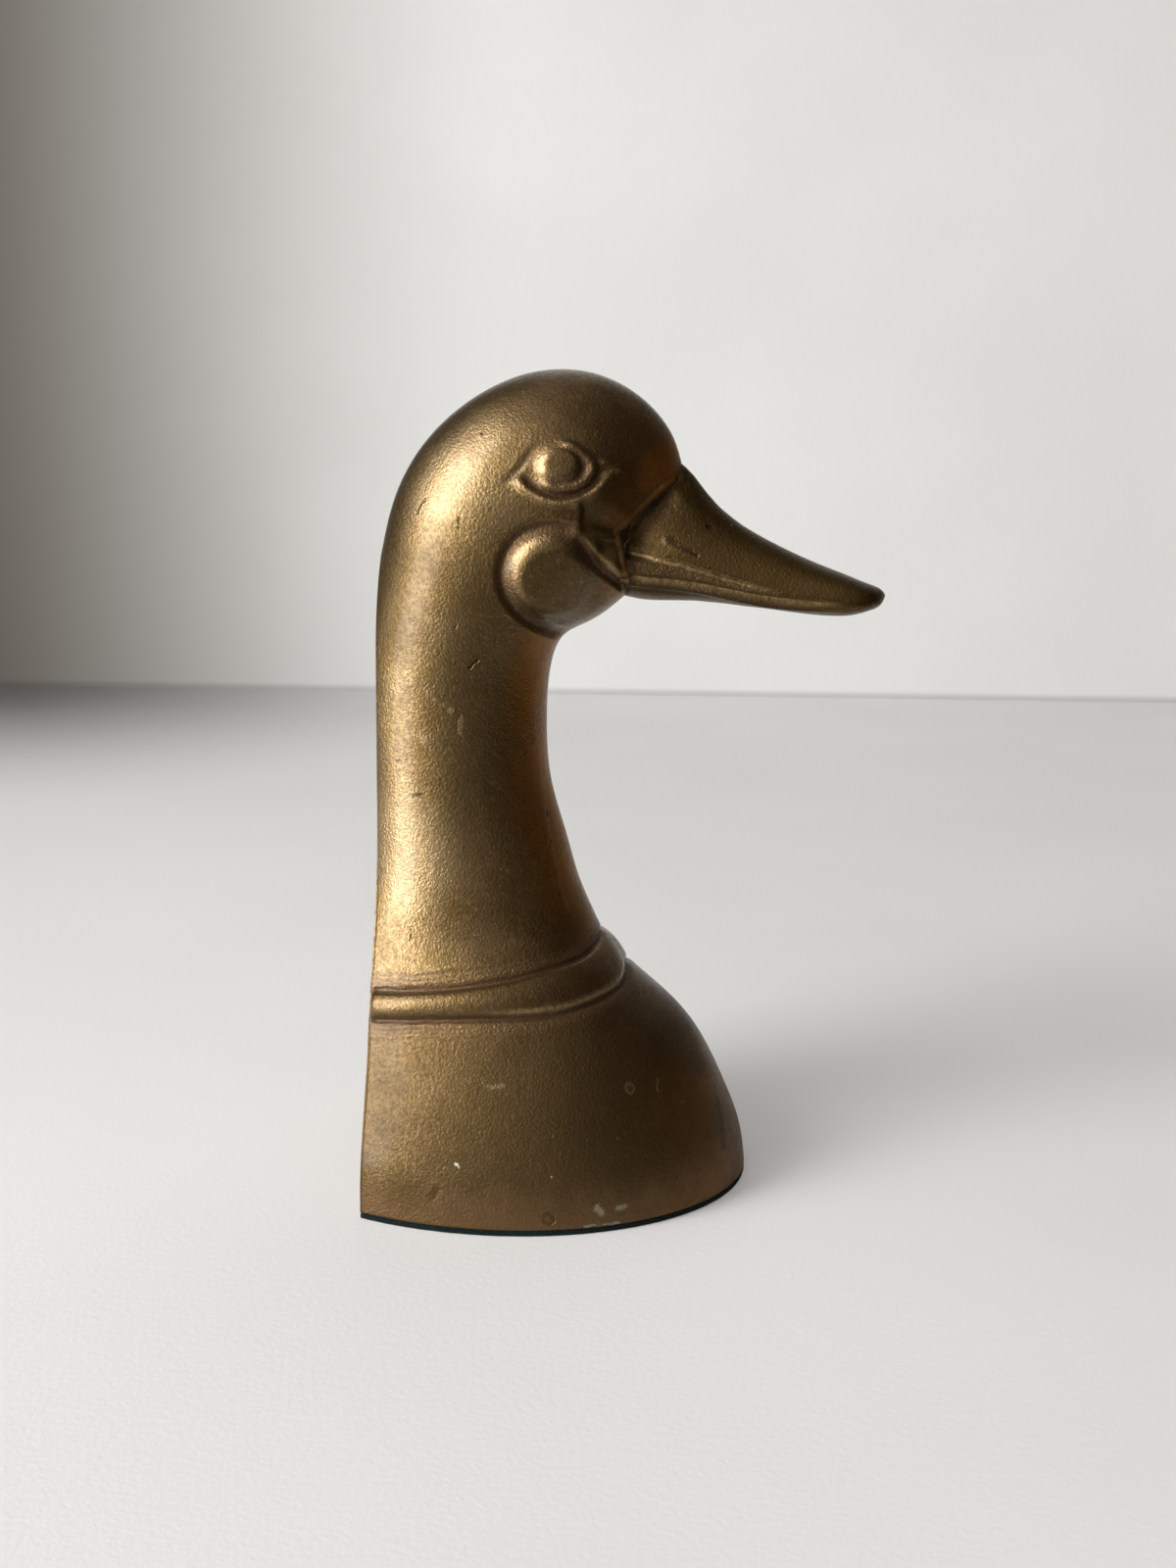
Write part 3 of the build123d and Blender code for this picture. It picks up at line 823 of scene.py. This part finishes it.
    def set(self, name, value):
        if isinstance(value, bpy.types.NodeSocket):
            self.tree.links.new(value, self.shader.inputs[name])
        else:
            self.shader.inputs[name].default_value = value


def rgb(red, green, blue):
    return (red, green, blue, 1.0)


STAGE_GLOW = 0.22

# Marks seen in the photograph: start, end, radius, outline width or 0 for a full mark, strength.
PALE_MARKS_AND_NECK_REFLECTION = (
    ((-23.5, -17.0, 103.4), (-23.5, -17.0, 103.4), 1.0, 0, 0.8),
    ((-21.4, -16.7, 101.8), (-21.7, -16.7, 98.9), 0.8, 0, 0.7),
    ((-29.3, -16.6, 96.9), (-28.9, -16.6, 97.4), 0.9, 0, 0.7),
    ((-27.0, -17.0, 105.6), (-24.2, -17.0, 103.8), 0.3, 0, 0.5),
    ((-27.9, -17.7, 121.7), (-27.9, -17.7, 121.7), 1.5, 0, 0.5),
    ((-13.8, -32.3, 29.0), (-10.8, -32.2, 29.4), 0.7, 0, 0.6),
    ((14.7, -25.7, 27.3), (14.7, -25.7, 27.3), 1.0, 0.4, 0.5),
    ((25.5, -19.6, 22.4), (25.5, -19.6, 22.4), 0.7, 0, 0.5),
    ((-26.0, -31.0, 28.4), (-29.2, -33.9, 19.1), 1.2, 0.35, 0.30),
    ((-29.7, -34.6, 16.5), (-30.3, -36.3, 9.5), 0.3, 0, 0.25),
    ((-19.9, -12.2, 160.2), (-25.0, -13.8, 153.5), 0.6, 0, 0.35),
    ((20.3, -21.5, 27.9), (20.2, -23.0, 24.7), 0.22, 0, 0.9),
    # painted reflection: these four strokes lay a pale strip down the neck's front, standing in for a reflection of
    # the room
    ((-7.5, -7.5, 103.5), (-6.9, -6.2, 95.0), 1.3, 0, 0.30),
    ((-6.9, -6.2, 95.0), (-5.8, -6.2, 86.7), 1.0, 0, 0.30),
    ((-5.8, -6.2, 86.7), (-4.0, -8.2, 76.6), 0.9, 0, 0.35),
    ((-4.0, -8.2, 76.6), (0.5, -10.1, 60.1), 0.9, 0, 0.28),
    ((9.6, -30.6, 27.0), (9.0, -31.2, 24.9), 0.2, 0, 0.6),
    ((-1.0, -34.9, 19.4), (0.6, -34.6, 21.3), 0.2, 0, 0.6),
)
# Broad darker patches: centre and radius in mm, strength. The first three are painted shade, dimming the window's
# highlight on the back of the head and neck.
DARK_PATCHES_AND_PAINTED_SHADE = (
    ((-28.0, -17.5, 129.0), 15.0, 0.55),
    ((-34.0, -15.0, 123.0), 14.0, 0.62),
    ((-24.0, -17.7, 84.0), 12.0, 0.30),
    ((10.0, -15.0, 143.0), 10.0, 0.60),
    ((12.0, -13.0, 155.0), 12.0, 0.50),
    ((14.0, -28.0, 30.0), 18.0, 0.45),
    ((20.0, -12.0, 145.0), 11.0, 0.80),
    ((15.0, -13.0, 139.0), 8.0, 0.60),
)
# Broad lighter patches of painted highlight, where the window's highlight falls on the back of the head and neck,
# and the reddish patch on the forehead, in the same way.
PAINTED_HIGHLIGHT_PATCHES = (
    ((-26.0, -16.0, 150.0), 13.0, 0.55),
    ((-20.0, -15.0, 159.0), 10.0, 0.40),
    ((-33.0, -15.5, 74.0), 17.0, 0.50),
)
ORANGE = (
    ((17.0, -9.5, 151.0), 6.5, 0.80),
)
DARK_MARKS = (
    ((-17.7, -14.6, 158.4), (-17.7, -14.6, 158.4), 0.45, 0, 1.0),
    ((-21.8, -18.9, 140.2), (-21.7, -18.9, 142.0), 0.45, 0, 0.8),
    ((-30.6, -14.5, 142.9), (-29.2, -14.8, 145.5), 0.5, 0, 0.6),
    ((-20.0, -16.9, 112.2), (-18.2, -16.9, 113.6), 0.45, 0, 1.0),
    ((-22.4, -18.4, 120.6), (-22.4, -18.4, 120.6), 0.5, 0, 0.7),
    ((-31.4, -16.4, 85.4), (-29.3, -16.7, 85.9), 0.4, 0, 0.8),
    ((-35.3, -14.6, 92.3), (-34.1, -15.0, 92.7), 0.35, 0, 0.7),
    ((-31.7, -19.1, 57.8), (-31.6, -19.2, 55.2), 0.3, 0, 0.8),
    ((-4.8, -7.1, 81.1), (-4.8, -7.3, 80.4), 0.6, 0, 0.8),
    ((-3.7, -8.4, 75.0), (-3.7, -8.4, 75.0), 0.6, 0, 0.8),
    ((-25.4, -31.9, 26.2), (-12.8, -32.2, 28.9), 0.25, 0, 0.5),
    ((33.0, -9.7, 19.2), (34.4, -14.5, 10.8), 1.6, 0, 0.4),
    ((-24.5, -37.6, 7.3), (-23.6, -37.6, 8.6), 1.3, 0, 0.4),
    ((-0.8, -37.9, 3.8), (-0.8, -37.9, 3.8), 1.0, 0.5, 0.4),
    ((19.3, -10.9, 138.1), (19.5, -10.9, 138.0), 1.2, 0, 1.0),
    ((20.0, -10.7, 137.7), (25.4, -10.1, 135.3), 0.6, 0, 0.8),
    ((27.5, -7.9, 141.0), (27.8, -7.9, 140.7), 0.8, 0, 0.8),
)
WHITE_MARKS = (
    ((-19.9, -37.0, 14.5), (-19.6, -37.0, 14.3), 0.5, 0, 1.0),
    ((-19.2, -37.1, 13.8), (-19.2, -37.1, 13.8), 0.35, 0, 0.8),
    ((-0.7, -36.8, 12.5), (-0.7, -36.8, 12.5), 0.3, 0, 0.8),
    ((30.6, -5.8, 141.8), (30.6, -5.8, 141.8), 0.3, 0, 0.7),
    ((32.1, -5.3, 141.1), (32.1, -5.3, 141.1), 0.3, 0, 0.7),
    ((8.9, -35.5, 5.3), (9.5, -35.3, 4.4), 1.1, 0, 0.3),
    ((13.0, -33.9, 4.8), (14.4, -33.4, 4.9), 0.8, 0, 0.3),
    ((6.0, -36.3, 1.8), (13.0, -34.1, 1.7), 0.45, 0, 0.35),
)


def brass_material():
    m = Nodes("aged_brass")
    grime_and_shade = m.add("ShaderNodeAttribute", attribute_name="grime_and_shade").outputs["Fac"]
    front = m.add("ShaderNodeAttribute", attribute_name="front").outputs["Fac"]
    cast = m.add("ShaderNodeAttribute", attribute_name="cast").outputs["Fac"]
    bill = m.add("ShaderNodeAttribute", attribute_name="bill").outputs["Fac"]
    painted_highlight = m.add("ShaderNodeAttribute", attribute_name="painted_highlight").outputs["Fac"]
    height = m.add("ShaderNodeSeparateXYZ", {"Vector": m.place}).outputs["Z"]
    broad = m.noise(38, 3, 0.55)
    blotch = m.noise(330, 5, 0.65)
    clouds = m.noise(120, 5, 0.6)
    fine = m.noise(900, 4, 0.6)
    speck = m.noise(1250, 2, 0.5)
    grain = m.noise(1900, 2, 0.5)
    gold = m.mix(m.span(broad, 0.38, 0.62), rgb(0.245, 0.162, 0.074), rgb(0.180, 0.118, 0.050))
    gold = m.mix(m.span(clouds, 0.42, 0.70, 0, 0.7), gold, rgb(0.13, 0.076, 0.022))
    gold = m.mix(m.span(blotch, 0.45, 0.65, 0, 0.5), gold, rgb(0.15, 0.092, 0.028))
    gold = m.mix(m.span(fine, 0.52, 0.70, 0, 0.5), gold, rgb(0.33, 0.225, 0.095))
    gold = m.mix(m.span(speck, 0.50, 0.66, 0, 0.45), gold, rgb(0.085, 0.050, 0.018))
    gold = m.mix(m.math("MULTIPLY", bill, 0.65), gold, rgb(0.100, 0.062, 0.015))
    # darker patches; the first three are painted shade that dims the window's highlight on the back of the head and
    # neck
    dark_patches_and_shade = m.patches(DARK_PATCHES_AND_PAINTED_SHADE)
    # painted highlight: lighter patches where the window's highlight falls on the back of the head and neck
    gold = m.mix(m.patches(PAINTED_HIGHLIGHT_PATCHES), gold, rgb(0.36, 0.255, 0.135))
    gold = m.mix(m.patches(ORANGE), gold, rgb(0.75, 0.31, 0.06))
    gold = m.mix(dark_patches_and_shade, gold, m.mix(bill, rgb(0.085, 0.052, 0.018), rgb(0.040, 0.023, 0.007)))
    # darker, rougher and less coated towards the bottom, below about 30 to 50 mm
    darker_below = m.span(m.math("ADD", height, m.span(clouds, 0.3, 0.7, -0.006, 0.006)), 0.030, 0.050, 1.0, 0.0)
    gold = m.mix(m.math("MULTIPLY", darker_below, 0.72), gold, rgb(0.080, 0.049, 0.019))
    low = m.span(m.math("ADD", height, m.span(clouds, 0.3, 0.7, -0.003, 0.003)), 0.001, 0.012, 0.45, 0.0)
    gold = m.mix(low, gold, rgb(0.25, 0.14, 0.065))
    # painted warm reflection: an orange tint on the forward surfaces, turned away from the window, weaker towards
    # the bottom
    painted_warm_reflection = m.math("MULTIPLY", front, m.span(m.noise(90, 4, 0.6), 0.25, 0.6, 0.35, 0.95))
    painted_warm_reflection = m.math("MULTIPLY", painted_warm_reflection, m.span(height, 0.008, 0.034, 0.25, 1.0))
    gold = m.mix(painted_warm_reflection, gold, rgb(0.38, 0.165, 0.032))
    gold = m.mix(m.math("MULTIPLY", cast, m.span(fine, 0.35, 0.6, 0.15, 0.55)), gold, rgb(0.20, 0.115, 0.055))
    # painted highlight: ridges and window-facing slopes turn pale gold
    gold = m.mix(m.math("MULTIPLY", painted_highlight, m.span(fine, 0.35, 0.6, 0.35, 1.0)), gold, rgb(0.60, 0.42, 0.21))
    # grime in the grooves, with painted shade round the right of the eyeball, darkens the colour
    grime_and_shade_amount = m.math("MULTIPLY", grime_and_shade, m.span(m.noise(700, 4, 0.7), 0.25, 0.6, 0.55, 1.0))
    colour = m.mix(grime_and_shade_amount, gold, m.mix(bill, rgb(0.10, 0.052, 0.022), rgb(0.030, 0.016, 0.007)))
    spots = m.math("MULTIPLY", m.flecks(230, 0.7, 0.5), m.span(m.noise(60, 2), 0.45, 0.6))
    colour = m.mix(m.math("MULTIPLY", spots, 0.6), colour, rgb(0.12, 0.055, 0.02))
    dark = m.marks(DARK_MARKS)
    pale_marks_and_reflection = m.marks(PALE_MARKS_AND_NECK_REFLECTION)
    white = m.marks(WHITE_MARKS)
    dots = m.math("MULTIPLY", m.flecks(420, 0.17, 0.35), m.span(m.noise(50, 2), 0.35, 0.6, 0.25, 1.0))
    nicks = m.flecks(260, 0.3, 0.16, m.stretch((1.0, 1.0, 0.22), (0.25, 0.3, 0.0)))
    dust_and_reflection = m.math("MAXIMUM", m.math("MULTIPLY", dots, 0.55), m.math("MULTIPLY", nicks, 0.4))
    # the pale marks, including the painted reflection strip down the neck's front, join the dust
    dust_and_reflection = m.math("MAXIMUM", dust_and_reflection, m.math("MULTIPLY", pale_marks_and_reflection, 0.5))
    colour = m.mix(dark, colour, rgb(0.045, 0.022, 0.010))
    colour = m.mix(dust_and_reflection, colour, rgb(0.33, 0.24, 0.13))
    colour = m.mix(white, colour, rgb(0.55, 0.56, 0.48))
    m.set("Base Color", colour)
    dust_white_and_reflection = m.math("MAXIMUM", m.math("MULTIPLY", dust_and_reflection, 0.6), white)
    metal = m.math("SUBTRACT", 1.0, m.math("MULTIPLY", grime_and_shade_amount, 0.35))
    m.set("Metallic", m.math("SUBTRACT", metal, m.math("MINIMUM", dust_white_and_reflection, metal)))
    rough = m.math("ADD", m.span(clouds, 0.3, 0.7, 0.32, 0.41), m.math("MULTIPLY", grime_and_shade_amount, 0.25))
    rough = m.math("ADD", rough, m.span(speck, 0.4, 0.65, -0.03, 0.07))
    rough = m.math("ADD", rough, m.math("MULTIPLY", dark_patches_and_shade, 0.12))
    rough = m.math("ADD", rough, m.math("MULTIPLY", darker_below, 0.14))
    m.set("Roughness", m.math("ADD", rough, m.math("MULTIPLY", dust_white_and_reflection, 0.3), clamp=True))
    bare = m.math("MAXIMUM", m.math("MULTIPLY", painted_warm_reflection, 0.7), m.math("MULTIPLY", darker_below, 0.5))
    bare = m.math("MAXIMUM", bare, m.math("MULTIPLY", bill, 0.7))
    m.set("Coat Weight", m.math("SUBTRACT", 0.85, m.math("MULTIPLY", bare, 0.85)))
    m.set("Coat Roughness", 0.2)
    m.set("Coat IOR", 1.28)
    waves = m.bump(m.noise(70, 3, 0.5), 0.35, 0.0006)
    skin = m.bump(fine, m.math("ADD", 0.3, m.math("MULTIPLY", grime_and_shade_amount, 0.7), clamp=True), 0.00012, waves)
    skin = m.bump(m.noise(1700, 3, 0.6), m.math("MULTIPLY", cast, 0.9), 0.0003, skin)
    pores = m.bump(m.span(m.cells(520), 0.04, 0.16), 0.25, 0.0001, skin)
    pitted = m.bump(m.math("SUBTRACT", m.math("MULTIPLY", pale_marks_and_reflection, 0.3), dark), 0.7, 0.0003, pores)
    m.set("Normal", m.bump(grain, 1.0, 0.00015, pitted))
    return m.material


def felt_material():
    m = Nodes("dark_felt")
    fibres = m.noise(2200, 6, 0.7, 1.5)
    tufts = m.noise(500, 3, 0.6)
    colour = m.mix(m.span(fibres, 0.35, 0.7), rgb(0.002, 0.006, 0.006), rgb(0.010, 0.024, 0.022))
    colour = m.mix(m.span(tufts, 0.5, 0.8, 0, 0.5), colour, rgb(0.008, 0.013, 0.013))
    m.set("Base Color", colour)
    m.set("Roughness", m.span(tufts, 0.3, 0.7, 0.85, 1.0))
    m.set("Sheen Weight", 0.03)
    m.set("Specular IOR Level", 0.1)
    m.set("Sheen Roughness", 0.6)
    m.set("Normal", m.bump(fibres, 0.8, 0.0004))
    return m.material


def stage_colour(m, colour, far):
    """Pale for the camera, and fading into a dim room in reflections where far is 1."""
    path = m.add("ShaderNodeLightPath").outputs
    m.set("Emission Color", colour)
    m.set("Emission Strength", m.math("MULTIPLY", path["Is Camera Ray"], STAGE_GLOW))
    dim = m.math("MULTIPLY", path["Is Glossy Ray"], far)
    m.set("Base Color", m.mix(dim, colour, rgb(0.10, 0.08, 0.055)))


def table_material():
    m = Nodes("table_paper")
    tooth = m.noise(700, 4, 0.6)
    colour = m.mix(m.span(m.noise(6, 2), 0.35, 0.65), rgb(0.735, 0.738, 0.743), rgb(0.715, 0.718, 0.72))
    # painted shadow: the table darkens towards its left back corner
    painted_shadow_corner = m.add("ShaderNodeVectorMath", {0: m.place, 1: (-0.50, 0.72, 0.0)}, operation="DISTANCE")
    colour = m.mix(m.span(painted_shadow_corner.outputs["Value"], 0.02, 0.46, 0.85, 0.0), colour, rgb(0.012, 0.010, 0.007))
    # painted shade: the table is a little darker towards the window, against the brighter light there
    near = m.add("ShaderNodeVectorMath", {0: m.place, 1: (-0.85, -0.53, 0.0)}, operation="DOT_PRODUCT")
    colour = m.mix(m.span(near.outputs["Value"], -0.02, 0.24, 0.0, 0.6), colour, rgb(0.60, 0.605, 0.61))
    away = m.add("ShaderNodeVectorMath", {0: m.place, 1: (0.72, -0.69, 0.0)}, operation="DOT_PRODUCT")
    stage_colour(m, colour, m.span(away.outputs["Value"], -0.05, 0.30, 0.0, 0.92))
    m.set("Roughness", 0.75)
    m.set("Normal", m.bump(tooth, 0.2, 0.0003))
    return m.material


def wall_material():
    m = Nodes("wall_paint")
    colour = m.mix(m.span(m.noise(5, 3), 0.35, 0.65), rgb(0.765, 0.775, 0.765), rgb(0.735, 0.745, 0.735))
    place = m.add("ShaderNodeSeparateXYZ", {"Vector": m.place}).outputs
    # painted shadow: the wall darkens towards its left end
    colour = m.mix(m.span(place["X"], -0.50, -0.08), rgb(0.115, 0.104, 0.085), colour)
    colour = m.mix(m.span(place["Z"], 0.001, 0.006, 0.3, 0.0), colour, rgb(0.02, 0.02, 0.02))
    stage_colour(m, colour, m.span(place["X"], -0.05, 0.6, 0.0, 0.75))
    m.set("Roughness", 0.9)
    m.set("Normal", m.bump(m.noise(300, 3), 0.2, 0.0005))
    return m.material


casting.data.materials.append(brass_material())
felt.data.materials.append(felt_material())
for piece, node, slot in ((casting, "duck_casting", "brass"), (felt, "base_felt", "felt")):
    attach(piece, "root")
    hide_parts(node)


# ---------------------------------------------------------------- table, wall, light and camera

def panel(name, corners, material):
    mesh = bpy.data.meshes.new(name)
    mesh.from_pydata(corners, [], [tuple(range(len(corners)))])
    obj = bpy.data.objects.new(name, mesh)
    bpy.context.scene.collection.objects.link(obj)
    mesh.materials.append(material)
    return obj


WALL_LEFT, WALL_RIGHT = 0.573, 0.982
panel("table", [(-3, -2.5, 0), (3, -2.5, 0), (3, WALL_RIGHT, 0), (-3, WALL_LEFT, 0)], table_material())
panel("wall", [(-3, WALL_LEFT, 0), (3, WALL_RIGHT, 0), (3, WALL_RIGHT, 2.5), (-3, WALL_LEFT, 2.5)],
      wall_material())


def area(name, place, target, width, height, power, colour):
    lamp = bpy.data.lights.new(name, "AREA")
    lamp.shape = "RECTANGLE"
    lamp.size, lamp.size_y = width, height
    lamp.energy = power
    lamp.color = colour
    obj = bpy.data.objects.new(name, lamp)
    bpy.context.scene.collection.objects.link(obj)
    obj.location = place
    obj.rotation_euler = (Vector(target) - Vector(place)).to_track_quat("-Z", "Y").to_euler()
    return obj


WINDOW_WAY = (-0.80, -0.50, 0.34)
area("window", (-0.636, -0.40, 0.40), (0.0, 0.0, 0.24), 0.37, 0.80, 8.6, (1.0, 0.99, 0.965))
area("window_sill", (-0.34, -0.213, 0.031), (0.0, 0.0, 0.060), 0.17, 0.055, 0.27, (1.0, 0.99, 0.965))


def room_world():
    """The room round the table: light round the window, dark on the other side."""
    world = bpy.data.worlds.new("room")
    world.use_nodes = True
    tree = world.node_tree
    place = tree.nodes.new("ShaderNodeTexCoord")
    facing = tree.nodes.new("ShaderNodeVectorMath")
    facing.operation = "DOT_PRODUCT"
    tree.links.new(place.outputs["Generated"], facing.inputs[0])
    facing.inputs[1].default_value = WINDOW_WAY
    curve = tree.nodes.new("ShaderNodeFloatCurve")
    points = curve.mapping.curves[0].points
    points[0].location = (0.0, 0.04)
    points[1].location = (1.0, 0.95)
    for x, y in ((0.30, 0.055), (0.45, 0.09), (0.52, 0.14), (0.62, 0.29), (0.72, 0.45), (0.82, 0.56), (0.90, 0.80)):
        points.new(x, y)
    curve.mapping.update()
    half = tree.nodes.new("ShaderNodeMath")
    half.operation = "MULTIPLY_ADD"
    tree.links.new(facing.outputs["Value"], half.inputs[0])
    half.inputs[1].default_value = 0.5
    half.inputs[2].default_value = 0.5
    tree.links.new(half.outputs[0], curve.inputs["Value"])
    background = tree.nodes["Background"]
    tint = tree.nodes.new("ShaderNodeMix")
    tint.data_type = "RGBA"
    tree.links.new(half.outputs[0], tint.inputs[0])
    tint.inputs[6].default_value = (1.0, 0.66, 0.38, 1)
    tint.inputs[7].default_value = (0.98, 0.985, 0.98, 1)
    tree.links.new(tint.outputs[2], background.inputs["Color"])
    tree.links.new(curve.outputs["Value"], background.inputs["Strength"])
    bpy.context.scene.world = world


room_world()

def camera_matrix(place, yaw, pitch, roll):
    """The fitted camera: yaw and pitch in degrees from straight along +Y, pitch down, roll clockwise."""
    yaw, pitch, roll = (math.radians(v) for v in (yaw, pitch, roll))
    forward = np.array((math.sin(yaw) * math.cos(pitch), math.cos(yaw) * math.cos(pitch), -math.sin(pitch)))
    right = np.array((math.cos(yaw), -math.sin(yaw), 0.0))
    down = np.cross(forward, right)
    c, s = math.cos(roll), math.sin(roll)
    right, down = c * right - s * down, s * right + c * down
    m = np.eye(4)
    m[:3, 0], m[:3, 1], m[:3, 2], m[:3, 3] = right, -down, -forward, place
    return Matrix(m.tolist())


lens = bpy.data.cameras.new("camera")
lens.lens = 36.0
lens.sensor_width = 36.0
lens.clip_start = 0.01
camera = bpy.data.objects.new("camera", lens)
camera.matrix_world = camera_matrix((0.020937, -0.330021, 0.149912), -3.0, 10.991, 0.95)
bpy.context.scene.collection.objects.link(camera)
bpy.context.scene.camera = camera
bpy.context.scene.view_settings.view_transform = "Standard"
